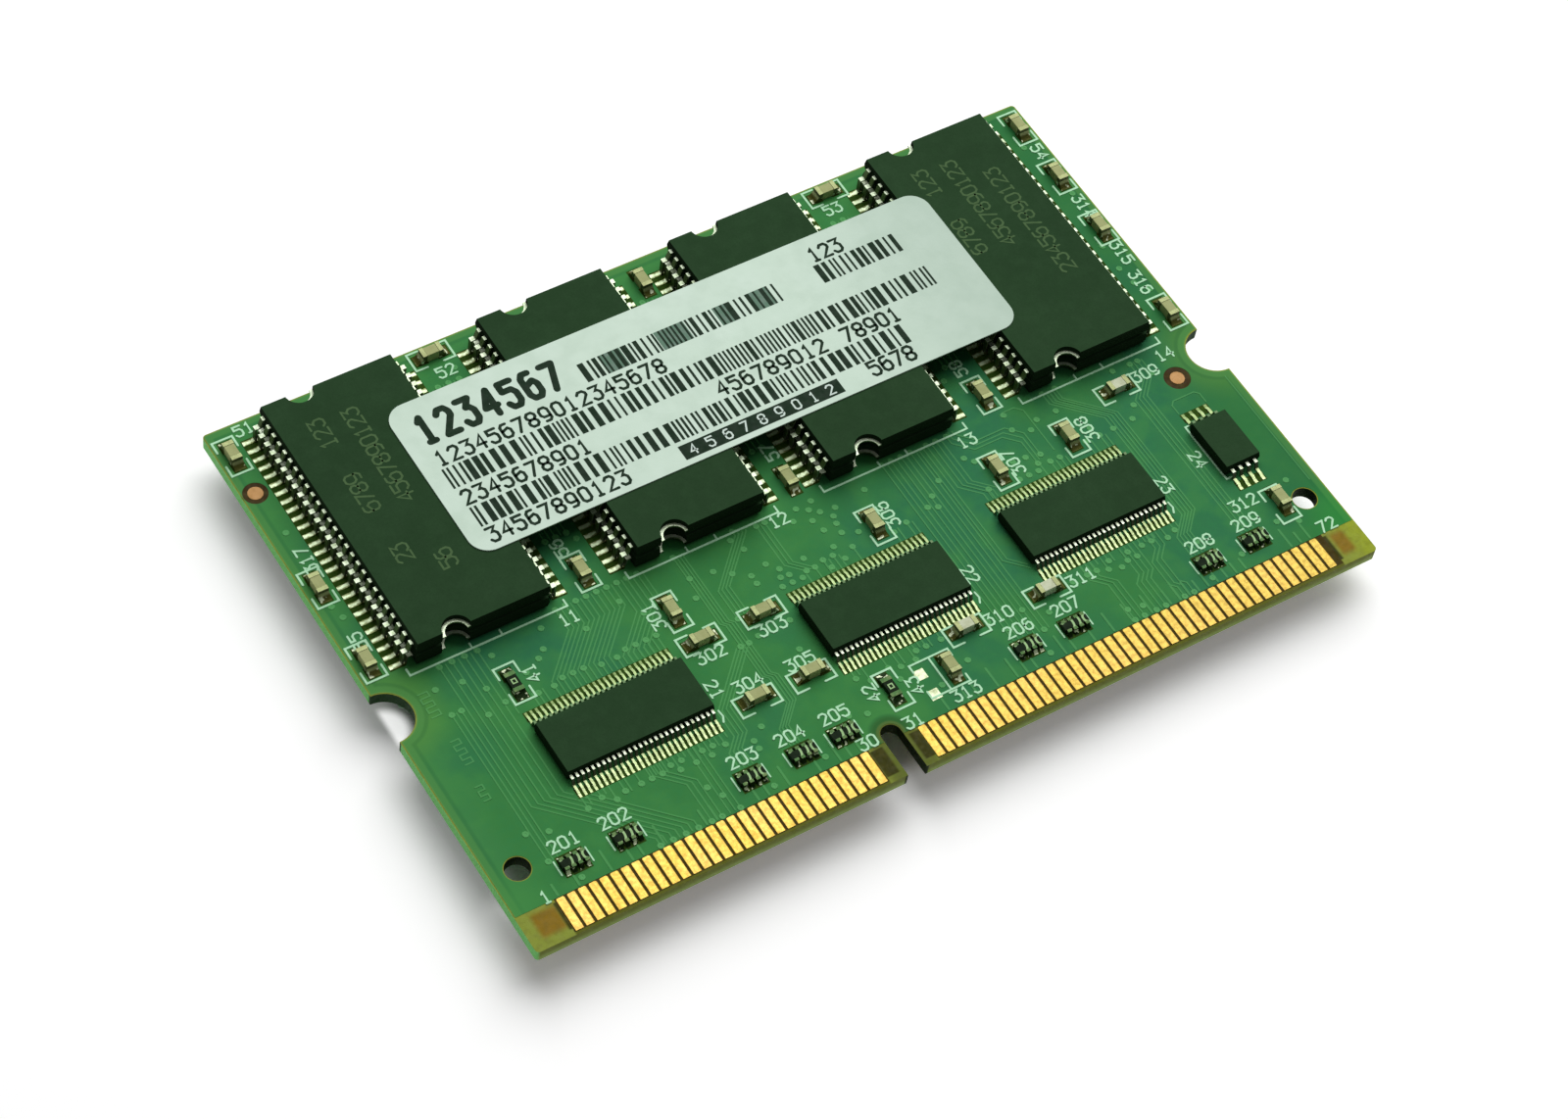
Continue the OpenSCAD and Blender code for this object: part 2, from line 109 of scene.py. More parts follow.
class Shader:
    """A procedural finish whose fields are measured in millimetres of the frame."""

    def __init__(self, name, colour, roughness, metallic=0.0, specular=0.5):
        self.material = bpy.data.materials.new(name)
        self.material.use_nodes = True
        self.tree = self.material.node_tree
        self.surface = self.tree.nodes["Principled BSDF"]
        self.surface.inputs["Metallic"].default_value = metallic
        self.surface.inputs["Specular IOR Level"].default_value = specular
        self.surface.inputs["Roughness"].default_value = roughness
        self.colour = linear(colour)
        scale = self.node("VectorMath")
        scale.operation = "SCALE"
        scale.inputs["Scale"].default_value = 1 / MM
        origin = self.node("TexCoord")
        self.feed(scale.inputs[0], origin.outputs["Object"])
        self.place = scale.outputs[0]
        split = self.node("SeparateXYZ")
        self.feed(split.inputs[0], self.place)
        self.x, self.y, self.z = split.outputs
        self.normal = None

    def node(self, kind):
        """A new shader node."""
        return self.tree.nodes.new("ShaderNode" + kind)

    def feed(self, socket, value):
        """Links a socket into another one, or sets its value."""
        if isinstance(value, bpy.types.NodeSocket):
            self.tree.links.new(value, socket)
        else:
            socket.default_value = value

    def math(self, operation, first, second=0.0):
        """One sum on two values."""
        node = self.node("Math")
        node.operation = operation
        self.feed(node.inputs[0], first)
        self.feed(node.inputs[1], second)
        return node.outputs[0]

    def times(self, *shares):
        """The product of some shares."""
        result = shares[0]
        for share in shares[1:]:
            result = self.math("MULTIPLY", result, share)
        return result

    def ramp(self, value, start, end, low=0.0, high=1.0):
        """Runs smoothly from low at start to high at end."""
        node = self.node("MapRange")
        node.interpolation_type = "SMOOTHSTEP"
        for name, entry in zip(("Value", "From Min", "From Max", "To Min", "To Max"),
                               (value, start, end, low, high)):
            self.feed(node.inputs[name], entry)
        return node.outputs["Result"]

    def inside(self, value, start, end, soft):
        """1 between two values, with soft edges."""
        return self.times(self.ramp(value, start - soft, start + soft),
                          self.ramp(value, end + soft, end - soft))

    def noise(self, size, detail=2.0, stretch=(1, 1, 1)):
        """Noise with features of about this size."""
        node = self.node("TexNoise")
        node.inputs["Scale"].default_value = 1 / size
        node.inputs["Detail"].default_value = detail
        spot = self.place
        if stretch != (1, 1, 1):
            pull = self.node("VectorMath")
            pull.operation = "MULTIPLY"
            pull.inputs[1].default_value = stretch
            self.feed(pull.inputs[0], spot)
            spot = pull.outputs[0]
        self.feed(node.inputs["Vector"], spot)
        return node.outputs["Fac"]

    def mix(self, share, other):
        """Blends the colour so far towards another one."""
        node = self.node("Mix")
        node.data_type = "RGBA"
        self.feed(node.inputs[0], share)
        self.feed(node.inputs[6], self.colour)
        node.inputs[7].default_value = linear(other)
        self.colour = node.outputs[2]
        return self

    def mottle(self, size, share, other, detail=3.0):
        """Soft patches of another colour."""
        patch = self.ramp(self.noise(size, detail), 0.4, 0.7, 0.0, share)
        return self.mix(patch, other)

    def grain(self, size, height, detail=2.0, stretch=(1, 1, 1)):
        """Fine relief of this size and height, in millimetres."""
        node = self.node("Bump")
        node.inputs["Distance"].default_value = height * MM
        self.feed(node.inputs["Height"], self.noise(size, detail, stretch))
        if self.normal is not None:
            self.feed(node.inputs["Normal"], self.normal)
        self.normal = node.outputs[0]
        return self

    def polish(self, size, low, high):
        """Roughness that varies between two values."""
        self.feed(self.surface.inputs["Roughness"], self.ramp(self.noise(size), 0.3, 0.7, low, high))
        return self

    def up(self, axis=2):
        """How far a face looks along an axis, from -1 to 1."""
        node = self.node("NewGeometry")
        split = self.node("SeparateXYZ")
        self.feed(split.inputs[0], node.outputs["True Normal"])
        return split.outputs[axis]

    def wall(self):
        """1 on upright faces and 0 on flat ones."""
        return self.ramp(self.math("ABSOLUTE", self.up()), 0.75, 0.45)

    def height(self):
        """Height above the nearer face of the board."""
        from_middle = self.math("ABSOLUTE", self.math("SUBTRACT", self.z, MIDDLE))
        return self.math("SUBTRACT", from_middle, THICK / 2)

    def facing(self, axis):
        """1 on faces that look along an axis, either way."""
        return self.ramp(self.math("ABSOLUTE", self.up(axis)), 0.6, 0.85)

    def beside(self, value, start, pitch):
        """Distance from the nearest of evenly spaced lines."""
        steps = self.math("DIVIDE", self.math("SUBTRACT", value, start), pitch)
        turn = self.math("FRACT", self.math("ADD", steps, 0.5))
        return self.times(self.math("ABSOLUTE", self.math("SUBTRACT", turn, 0.5)), pitch)

    def from_point(self, x, y):
        """Distance from an upright line."""
        across = self.math("SUBTRACT", self.x, x - CENTRE_X)
        along = self.math("SUBTRACT", self.y, y - CENTRE_Y)
        squares = self.math("ADD", self.times(across, across), self.times(along, along))
        return self.math("SQRT", squares)

    def from_outline(self):
        """Distance from the board's nearest side, notch or key wall."""
        reach = self.math("SUBTRACT", CENTRE_X, self.math("ABSOLUTE", self.x))
        reach = self.math("MINIMUM", reach, self.math("SUBTRACT", CENTRE_Y, self.y))
        for x, y, r in [(0, NOTCH_Y, NOTCH_R), (WIDE, NOTCH_Y, NOTCH_R), (KEY_X, KEY_TOP - KEY_R, KEY_R)]:
            reach = self.math("MINIMUM", reach, self.math("SUBTRACT", self.from_point(x, y), r))
        return reach

    def done(self):
        """The finished material."""
        self.feed(self.surface.inputs["Base Color"], self.colour)
        if self.normal is not None:
            self.feed(self.surface.inputs["Normal"], self.normal)
        return self.material


def laminate():
    """Bare glass-fibre board, brown beside the contacts; its walls carry painted shade, a painted
    highlight along their lower rim, a painted glow on the left wall and dark painted shade in the notches,
    holes and key slot.
    """
    s = Shader("laminate", (138, 150, 59), 0.6, specular=0.08)
    x = s.math("ADD", s.x, CENTRE_X)
    y = s.math("ADD", s.y, CENTRE_Y)
    field = s.inside(y, 0.5, 2.7, 0.06)
    s.mix(s.ramp(x, 65, 67.6), (152, 165, 45))
    beside_key = s.math("ABSOLUTE", s.math("SUBTRACT", x, KEY_X))
    s.mix(s.ramp(beside_key, 2.4, 1.4, 0, 0.85), (88, 100, 38))
    soft = s.inside(y, 0.75, 2.6, 0.3)
    for start, end in [(0.9, 2.75), (65.2, 66.3)]:
        s.mix(s.times(soft, s.inside(x, start, end, 0.25)), (139, 111, 30))
    for start, end in [(2.7, 2.95), (26.9, 27.9), (30.0, 30.8), (64.3, 65.0)]:
        s.mix(s.times(field, s.inside(x, start, end, 0.12)), (57, 58, 14))
    below = s.ramp(y, 0.42, 0.3)
    gaps = s.inside(y, 0.2, 2.95, 0.05)
    for start, end in [(2.9, 26.9), (30.8, 64.75)]:
        s.mix(s.times(below, s.inside(x, start, end, 0.1)), (92, 97, 26))
        s.mix(s.times(gaps, s.inside(x, start, end, 0.04)), (62, 50, 4))
    for fx, fy, r in FIDUCIALS:
        s.mix(s.ramp(s.from_point(fx, fy), r + 0.15, r), (60, 45, 20))
    s.mottle(0.5, 0.25, (95, 90, 35))
    wall = s.wall()
    low = s.ramp(s.z, HIGH.z / MM, LOW.z / MM)
    # The cut edge's olive, darkened as painted shade
    s.mix(wall, (120, 128, 58))
    # Painted highlight: the walls lighten towards their lower rim
    s.mix(s.times(wall, low, low), (162, 188, 106))
    # Painted glow of light through the board on the left wall
    left = s.times(wall, s.ramp(s.x, 0.3 - CENTRE_X, 0.05 - CENTRE_X))
    s.mix(left, (132, 218, 124))
    # Painted shade: the walls of the notches and holes are dark
    cuts = [(0, NOTCH_Y, NOTCH_R, (34, 66, 36)), (WIDE, NOTCH_Y, NOTCH_R, (34, 66, 36))]
    cuts += [(hx, hy, HOLE_R, (24, 46, 20)) for hx, hy in HOLES]
    for cx, cy, r, tone in cuts:
        s.mix(s.times(wall, s.ramp(s.from_point(cx, cy), r + 0.25, r + 0.1)), tone)
    # Painted shade on the walls of the key slot
    s.mix(s.times(wall, s.ramp(beside_key, KEY_R + 0.25, KEY_R + 0.1)), (24, 38, 12))
    s.mix(s.times(s.ramp(s.noise(0.12, 3, (1, 1, 6)), 0.35, 0.75, 0, 0.3), wall), (60, 68, 30))
    s.grain(0.08, 0.02).polish(0.4, 0.5, 0.75)
    return s.done()


def mask(name, shade=0.0):
    """Green solder mask, with a painted glow near the outlines and a painted shadow under the label; shade
    lightens all of it.
    """
    s = Shader(name, (57, 126, 66), 0.4, specular=0.02)
    s.mottle(9, 0.85, (46, 114, 78), 1.0)
    s.mottle(2.2, 0.5, (68, 138, 70)).mottle(0.45, 0.25, (50, 128, 74), 4.0)
    reach = s.from_outline()
    # Painted glow: the mask is lighter near the outlines, on the left half
    glow = s.times(s.ramp(reach, 3.2, 0.4, 0, 0.4), s.ramp(s.x, 0, CENTRE_X, 1, 0))
    s.mix(glow, (76, 145, 70))
    s.mix(s.ramp(s.x, 26, 33, 0, 0.45), (38, 102, 58))
    notch = s.math("MINIMUM", s.from_point(0, NOTCH_Y), s.from_point(WIDE, NOTCH_Y))
    s.mix(s.ramp(notch, 5.0, 2.0, 0, 0.45), (98, 152, 60))
    s.mix(s.ramp(reach, 0.95, 0.75, 0, 0.3), (38, 98, 58))
    s.mix(s.ramp(reach, 0.66, 0.5, 0, 0.5), (86, 148, 76))
    s.mix(s.ramp(reach, 0.2, 0.05, 0, 0.6), (122, 160, 80))
    for x, y, colour in [(WIDE, 3.5, (48, 150, 60)), (0, 3.0, (72, 146, 72))]:
        s.mix(s.ramp(s.from_point(x, y), 4.5, 0.5, 0, 0.5), colour)
    key = s.from_point(KEY_X, KEY_TOP - KEY_R)
    s.mix(s.ramp(key, KEY_R + 0.85, KEY_R + 0.45, 0, 0.75), (40, 88, 42))
    s.mix(s.ramp(key, KEY_R + 0.35, KEY_R + 0.2, 0, 0.7), (92, 116, 56))
    # Painted shadow of the label on the mask below it, on the front face only
    painted_shadow_area = s.times(s.inside(s.x, LABEL_LOW.x, LABEL_HIGH.x, 0.4),
                    s.inside(s.y, LABEL_LOW.y + 0.3, LABEL_HIGH.y - 1.2, 0.2))
    s.mix(s.times(painted_shadow_area, s.math("GREATER_THAN", s.z, MIDDLE), 0.7), (24, 62, 38))
    if shade:
        s.mix(shade, (104, 178, 108))
    s.grain(0.25, 0.006, 3.0).polish(1.5, 0.3, 0.45)
    return s.done()


def gold():
    """Gold plate with a fine grain, darker along each contact's sides, with painted shade on its upright
    faces.
    """
    s = Shader("gold", (193, 162, 68), 0.4, 0.75)
    s.mottle(0.18, 0.7, (182, 142, 50)).mottle(0.9, 0.5, (212, 182, 92))
    s.mottle(3.5, 0.4, (216, 168, 94), 1.0)
    x = s.math("ADD", s.x, CENTRE_X)
    right = s.math("GREATER_THAN", x, KEY_X)
    shift = s.math("SUBTRACT", x, s.times(right, RIGHT_CONTACT - LEFT_CONTACT))
    s.mix(s.ramp(x, 12, 55, 0, 0.6), (160, 138, 60))
    beside = s.beside(shift, LEFT_CONTACT, CONTACT_PITCH)
    s.mix(s.ramp(beside, 0.24, 0.31, 0, 0.9), (104, 76, 8))
    # Painted shade on the contacts' upright faces
    s.mix(s.times(s.wall(), 0.85), (84, 62, 10))
    s.grain(0.06, 0.012).grain(0.4, 0.02).polish(0.3, 0.28, 0.5)
    return s.done()


def tinned(name, colour, low_colour, low, other, painted_shade):
    """Tinned metal: painted shade on its upright faces, and of a second tone up to a level above the
    board.
    """
    s = Shader(name, colour, 0.35, 0.4, 0.15)
    s.low = s.ramp(s.height(), low + 0.06, low - 0.06)
    s.mix(s.low, low_colour)
    s.mottle(0.35, 0.55, other)
    # Painted shade on the upright faces
    s.mix(s.times(s.wall(), 0.88), painted_shade)
    s.grain(0.12, 0.02).polish(0.25, 0.28, 0.5)
    return s


def stack_leads():
    """Leads of the stacks, with olive solder along the sides of their feet and painted shade on their
    sloped legs.
    """
    s = tinned("stack_tin", (240, 248, 228), (218, 236, 196), 0.2, (168, 184, 140), (40, 42, 18))
    beside = s.beside(s.y, STACK_Y, LEAD_PITCH)
    wave = s.ramp(s.noise(0.3), 0.3, 0.7, -0.05, 0.05)
    side = s.ramp(s.math("ADD", beside, wave), 0.08, 0.15, 0, 0.85)
    s.mix(s.times(s.low, side), (112, 120, 58))
    height = s.height()
    s.mix(s.ramp(height, 0.5, 0.9, 0, 0.3), (136, 176, 104))
    # Painted shade: sloped and upright leg faces above the feet, except those facing along Y, turn dark
    # olive
    leg_shade = s.times(s.ramp(s.math("ABSOLUTE", s.up()), 0.97, 0.8), s.ramp(height, 0.25, 0.4))
    s.mix(s.times(leg_shade, s.math("SUBTRACT", 1.0, s.facing(1))), (76, 98, 54))
    return s.done()


def fine_leads():
    """Leads of the narrow packages; those behind a package carry painted shade."""
    s = tinned("fine_tin", (236, 246, 222), (206, 224, 166), 0.25, (160, 174, 112), (36, 38, 16))
    # Painted shade on the leads behind each package: darker legs, tips and feet
    behind = s.ramp(s.y, FINE_Y - 0.2, FINE_Y + 0.2)
    raised = s.math("SUBTRACT", 1.0, s.low)
    s.mix(s.times(behind, raised, 0.95), (74, 104, 62))
    s.mix(s.times(s.ramp(s.y, FINE_Y + 3.36, FINE_Y + 3.48), 0.8), (84, 90, 38))
    s.mix(s.times(behind, s.low, 0.6), (118, 146, 88))
    return s.done()


def solder(name, colour, low_colour):
    """The ends of small parts: the part's tone on top, and dark solder with painted glints below; painted
    shade on the upright faces.
    """
    s = Shader(name, colour, 0.4, 0.2, 0.06)
    s.mottle(0.5, 0.3, (146, 148, 104))
    # Painted shade on the upright faces
    s.mix(s.times(s.wall(), 0.8), (44, 44, 18))
    low = s.ramp(s.height(), 0.4, 0.25)
    s.mix(low, low_colour)
    # Painted glints: bright spots on the solder
    spots = s.ramp(s.noise(0.45, 1.0), 0.55, 0.62)
    s.mix(s.times(low, spots), (222, 232, 196))
    s.grain(0.15, 0.03).polish(0.3, 0.25, 0.5)
    return s.done()


def moulding():
    """Moulded epoxy, with a fine matt grain and painted shade on its upright faces."""
    s = Shader("moulding", (41, 66, 41), 0.75, specular=0.02)
    s.mottle(6, 0.35, (47, 74, 47), 1.0).mottle(1.1, 0.3, (50, 78, 50), 4.0)
    s.mottle(0.15, 0.25, (35, 57, 35))
    # Painted shade on the upright faces
    s.mix(s.times(s.wall(), 0.75), (18, 28, 16))
    s.grain(0.07, 0.012, 3.0).polish(0.8, 0.68, 0.82)
    return s.done()


def film():
    """White label film, uneven by a little and duller to the right."""
    s = Shader("film", (203, 224, 207), 0.5, specular=0.2)
    s.mottle(3, 0.5, (208, 228, 213), 1.0).mottle(1.4, 0.4, (189, 211, 193))
    s.mix(s.ramp(s.x, 6, 22, 0, 0.6), (168, 190, 174))
    s.grain(0.5, 0.01).polish(2.0, 0.4, 0.6)
    return s.done()


def ceramic(pale):
    """Fired ceramic, tan, and whitish on the parts listed as pale."""
    s = Shader("ceramic", (166, 172, 118), 0.5, specular=0.08)
    for x, y in pale:
        s.mix(s.ramp(s.from_point(x, y), 1.6, 1.4), (205, 212, 182))
    s.mottle(0.5, 0.35, (146, 152, 98)).grain(0.1, 0.012).polish(0.4, 0.4, 0.6)
    return s.done()


def glaze():
    """Dark glazed ceramic."""
    s = Shader("glaze", (20, 34, 18), 0.4, specular=0.03)
    s.mottle(0.4, 0.5, (34, 50, 28)).grain(0.2, 0.01).polish(0.5, 0.35, 0.5)
    return s.done()


def plain(name, colour, other, roughness, specular=0.3, metallic=0.0, size=0.4):
    """An ink or metal with small patches of a second tone."""
    s = Shader(name, colour, roughness, metallic, specular)
    s.mottle(size, 0.6, other).grain(0.1, 0.006).polish(0.5, roughness - 0.08, roughness + 0.08)
    return s.done()


def floor_finish():
    """White ground that keeps the shadows on it, with its white lift taken away under the board as painted
    shadow and a painted pool of light where the left notch shows it.
    """
    s = Shader("ground", (255, 255, 255), 0.9, specular=0.0)
    s.mottle(40, 0.3, (252, 253, 252), 1.0)
    path = s.node("LightPath")
    seen = s.math("MAXIMUM", path.outputs["Is Camera Ray"], path.outputs["Is Glossy Ray"])
    seen = s.math("MAXIMUM", seen, path.outputs["Is Transmission Ray"])
    s.surface.inputs["Emission Color"].default_value = (1, 1, 1, 1)
    # Painted shadow: the floor loses its lift under the board
    across = s.inside(s.x, 2 - CENTRE_X, CENTRE_X - 2, 1.5)
    painted_shadow_area = s.times(across, s.inside(s.y, 2 - CENTRE_Y, CENTRE_Y - 2, 1.5))
    glow = s.ramp(painted_shadow_area, 0, 1, 0.16, 0.0)
    # Painted pool of light on the floor seen through the left notch
    inward = s.ramp(s.x, 0.7 - CENTRE_X, 1.3 - CENTRE_X)
    spot = s.ramp(s.from_point(0.7, 21.1), 2.1, 1.2, 0, 0.6)
    glow = s.math("ADD", glow, s.times(inward, spot))
    s.feed(s.surface.inputs["Emission Strength"], s.times(seen, glow))
    return s.done()


def add_piece(mesh, material):
    """Adds a mesh to the scene as a piece of the module."""
    mesh.materials.clear()
    mesh.materials.append(material)
    piece = bpy.data.objects.new(mesh.name, mesh)
    scene.collection.objects.link(piece)
    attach(piece, "root")


class Relief:
    """Raised shapes of one finish on one face, gathered into one piece."""

    def __init__(self, name, side, foot, top, slope=0.0, spread=0.008):
        self.name = name
        self.spread = spread
        self.side = side
        self.foot = foot
        self.top = top
        self.slope = slope
        self.points = []
        self.faces = []
        self.layer = 0

    def level(self):
        """The next stroke's top, a little above or below its neighbours' tops."""
        self.layer = (self.layer + 0.618) % 1
        return self.top + self.layer * self.spread

    def ring(self, outline, lift):
        """Adds a ring of points and returns their numbers."""
        first = len(self.points)
        self.points.extend(place(self.side, x, y, lift) for x, y in outline)
        return list(range(first, len(self.points)))

    def body(self, rings):
        """A closed body from rings that run from its foot to its top."""
        self.faces.append(tuple(reversed(rings[0])))
        self.faces.append(tuple(rings[-1]))
        for low, high in zip(rings, rings[1:]):
            count = len(low)
            for i in range(count):
                j = (i + 1) % count
                self.faces.append((low[i], low[j], high[j], high[i]))

    def bar(self, x0, y0, x1, y1):
        """A rectangle between two corners."""
        outline = [(x0, y0), (x1, y0), (x1, y1), (x0, y1)]
        self.body([self.ring(outline, self.foot), self.ring(outline, self.top)])

    def turned(self, x, y, profile, count=14):
        """A round shape from radius and lift pairs, outside first."""
        turns = [2 * math.pi * i / count for i in range(count)]
        self.body([self.ring([(x + r * math.cos(a), y + r * math.sin(a)) for a in turns], lift)
                   for r, lift in profile])

    def line(self, path, width, closed=False):
        """A stroke along a path, with round ends when it is open."""
        half = width / 2
        path = [Vector(p) for p in path]
        path = [p for i, p in enumerate(path) if i == 0 or (p - path[i - 1]).length > 1e-4]
        count = len(path)
        if count < 2:
            return
        sections = []
        for i, p in enumerate(path):
            ahead = path[(i + 1) % count] - p if closed or i < count - 1 else p - path[i - 1]
            behind = p - path[i - 1] if closed or i > 0 else ahead
            ahead, behind = ahead.normalized(), behind.normalized()
            along = ahead + behind
            along = along.normalized() if along.length > 0.2 else ahead
            share = min(1 / max(along.dot(ahead), 0.2), 1.7)
            sections.append((p, Vector((-along.y, along.x)), half * share))
        if not closed:
            first, last = sections[0], sections[-1]
            start = (path[0] - path[1]).normalized()
            end = (path[-1] - path[-2]).normalized()
            caps = ((0.95, 0.31), (0.62, 0.78))
            sections = ([(first[0] + start * half * d, first[1], half * w) for d, w in caps] + sections
                        + [(last[0] + end * half * d, last[1], half * w) for d, w in reversed(caps)])
        rows = []
        top = self.level()
        for p, out, reach in sections:
            inner = max(reach - self.slope, reach * 0.4)
            first = len(self.points)
            for share, lift in ((-reach, self.foot), (reach, self.foot), (inner, top), (-inner, top)):
                spot = p + out * share
                self.points.append(place(self.side, spot.x, spot.y, lift))
            rows.append(tuple(range(first, first + 4)))
        steps = list(zip(rows, rows[1:])) + ([(rows[-1], rows[0])] if closed else [])
        for near, far in steps:
            for i in range(4):
                j = (i + 1) % 4
                self.faces.append((near[j], near[i], far[i], far[j]))
        if not closed:
            self.faces.append(rows[0])
            self.faces.append(tuple(reversed(rows[-1])))

    def object(self, material):
        """Turns the gathered shapes into a piece of the module."""
        mesh = bpy.data.meshes.new(self.name)
        mesh.from_pydata(self.points, [], self.faces)
        mesh.update()
        add_piece(mesh, material)


# Strokes of each digit, as points on a grid 4 wide and 6 high
DIGITS = {"0": "10 30 41 45 36 16 05 01 10", "1": "15 26 20/10 30", "2": "05 16 36 45 44 00 40",
          "3": "06 46 24 34 43 41 30 10 01", "4": "30 36 02 42", "5": "46 06 04 34 43 41 30 10 01",
          "6": "36 16 05 01 10 30 41 43 34 03", "7": "06 46 10",
          "8": "13 04 05 16 36 45 44 33 13 02 01 10 30 41 42 33", "9": "10 30 41 45 36 16 05 03 12 42"}
DIGIT_PITCH = 0.88
WIDE_STROKE = 0.3


def turn_about(points, x, y, degrees):
    """Points turned about the origin and then moved to a place."""
    cos, sin = math.cos(math.radians(degrees)), math.sin(math.radians(degrees))
    return [(x + u * cos - v * sin, y + u * sin + v * cos) for u, v in points]


def write(relief, text, x, y, turn=0, height=0.88, stroke=LEGEND_W, slim=0.6):
    """Writes numbers around a centre, turned by degrees."""
    for index, character in enumerate(text):
        shift = (index - (len(text) - 1) / 2) * DIGIT_PITCH * height
        for stroke_text in DIGITS[character].split("/"):
            points = [(shift + (int(pair[0]) / 4 - 0.5) * slim * height, (int(pair[1]) / 6 - 0.5) * height)
                      for pair in stroke_text.split()]
            path = turn_about(points, x, y, turn)
            closed = path[0] == path[-1]
            if stroke > WIDE_STROKE:
                for start, end in zip(path, path[1:]):
                    relief.line([start, end], stroke)
            else:
                relief.line(path[:-1] if closed else path, stroke, closed)


def bracket(relief, x, y, turn):
    """The two end marks around a small part."""
    reach, side, arm = 1.55, 0.775, 0.9
    for end in (-1, 1):
        near, far = end * (reach - arm), end * reach
        path = [(near, -side), (far, -side), (far, side), (near, side)]
        relief.line(turn_about(path, x, y, turn), LEGEND_W)


def islands(node, side):
    """The box of each separate solid of a node, in board millimetres."""
    work = bmesh.new()
    work.from_mesh(frame["nodes"][node].data)
    bmesh.ops.remove_doubles(work, verts=work.verts, dist=1e-7)
    left = set(work.verts)
    boxes = []
    while left:
        group, queue = [], [left.pop()]
        while queue:
            vert = queue.pop()
            group.append(vert.co.copy())
            for edge in vert.link_edges:
                other = edge.other_vert(vert)
                if other in left:
                    left.remove(other)
                    queue.append(other)
        xs = [(co.x - LOW.x if side == FRONT else HIGH.x - co.x) / MM for co in group]
        ys = [(co.y - LOW.y) / MM for co in group]
        boxes.append((min(xs), min(ys), max(xs), max(ys)))
    work.free()
    return sorted(boxes, key=lambda b: (round(b[0], 3), round(b[1], 3)))


def centre(box):
    """The middle of a box."""
    return (box[0] + box[2]) / 2, (box[1] + box[3]) / 2


def lie(box):
    """The turn of a box, 0 along X and 90 along Y."""
    return 0 if box[2] - box[0] > box[3] - box[1] else 90


def whole(nodes, side):
    """The box around some nodes, in board millimetres."""
    corners = [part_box(n) for n in nodes]
    low = [min(c[0][i] for c in corners) for i in (0, 1)]
    high = [max(c[1][i] for c in corners) for i in (0, 1)]
    xs = [(v - LOW.x if side == FRONT else HIGH.x - v) / MM for v in (low[0], high[0])]
    return (min(xs), (low[1] - LOW.y) / MM, max(xs), (high[1] - LOW.y) / MM)


def free(x, y, blocks, margin):
    """Whether a spot lies on open mask."""
    if not 0.5 < x < WIDE - 0.5 or not MASK_Y + 0.1 < y < DEEP - 0.5:
        return False
    if min(math.hypot(x - n, y - NOTCH_Y) for n in (0, WIDE)) < NOTCH_R + 0.5:
        return False
    if min(math.hypot(x - hx, y - hy) for hx, hy in HOLES) < HOLE_R + 0.5:
        return False
    if min(math.hypot(x - fx, y - fy) for fx, fy, _ in FIDUCIALS) < 1.3:
        return False
    return not any(b[0] - margin < x < b[2] + margin and b[1] - margin < y < b[3] + margin for b in blocks)


def runs(path, blocks, margin):
    """The parts of a path that lie on open mask, as shorter paths."""
    found, current = [], []
    for start, end in zip(path, path[1:]):
        length = math.hypot(end[0] - start[0], end[1] - start[1])
        count = max(int(length / 0.08), 1)
        for i in range(count + 1):
            spot = (start[0] + (end[0] - start[0]) * i / count, start[1] + (end[1] - start[1]) * i / count)
            if free(*spot, blocks, margin):
                keep = not current or i in (0, count)
                current.append((spot, keep))
            elif current:
                found.append(current)
                current = []
    if current:
        found.append(current)
    out = []
    for run in found:
        corners = [spot for spot, keep in run[:-1] if keep] + [run[-1][0]]
        if math.dist(corners[0], corners[-1]) > 0.4:
            out.append(corners)
    return out


def bundle(relief, vias, first, count, step, blocks, ends):
    """A group of parallel tracks, with vias at some of their ends."""
    for i in range(count):
        path = [(x + i * step[0], y + i * step[1]) for x, y in first]
        for run in runs(path, blocks, 0.12):
            relief.line(run, TRACK_W)
            if ends and i % 2 == 0:
                vias.append(run[0])
                vias.append(run[-1])


def groups(side):
    """The boxes of the stacks and other packages on a face."""
    found = {}
    for name in frame["nodes"]:
        if name.endswith(("_chip", "_leads")):
            found.setdefault("_".join(name.split("_")[:2]), []).append(name)
    boxes = {}
    for key, names in found.items():
        front = sum(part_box(n)[0].z for n in names) / len(names) > LOW.z
        if front == (side == FRONT):
            boxes[key] = whole(names, side)
    return boxes


def arc(x, y, r, start, end, count=18):
    """Points of an arc, in degrees."""
    turns = [math.radians(start + (end - start) * i / count) for i in range(count + 1)]
    return [(x + r * math.cos(a), y + r * math.sin(a)) for a in turns]


